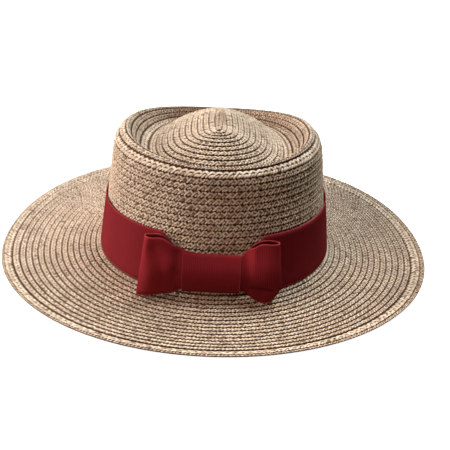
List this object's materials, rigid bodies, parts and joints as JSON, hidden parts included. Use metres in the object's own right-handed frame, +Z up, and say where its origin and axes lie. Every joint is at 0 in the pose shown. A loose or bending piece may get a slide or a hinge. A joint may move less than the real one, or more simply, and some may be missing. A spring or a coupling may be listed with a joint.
{
  "type": "telescope-crown straw hat",
  "caption": "Wide-brimmed hat of sewn straw braid with a sunk, domed telescope crown, a ribbon band and a flat ribbon bow at the front. It is worn on the head and rests on its brim.",
  "frame": {"origin": "middle of the head opening, on the level surface that the brim rests on", "axes": "+Z up, +Y from the front to the back of the hat, +X to the right of someone who faces the bow. The bow faces -Y."},
  "size_m": [0.3129, 0.3452, 0.0929],
  "materials": {
    "straw": "dull natural straw braid",
    "ribbon": "ribbed crimson grosgrain with a low sheen"
  },
  "bodies": {
    "root": {"crown": "straw", "brim": "straw", "hat_band": "ribbon", "bow_loop_left": "ribbon", "bow_loop_right": "ribbon", "bow_wrap": "ribbon"}
  },
  "joints": []
}
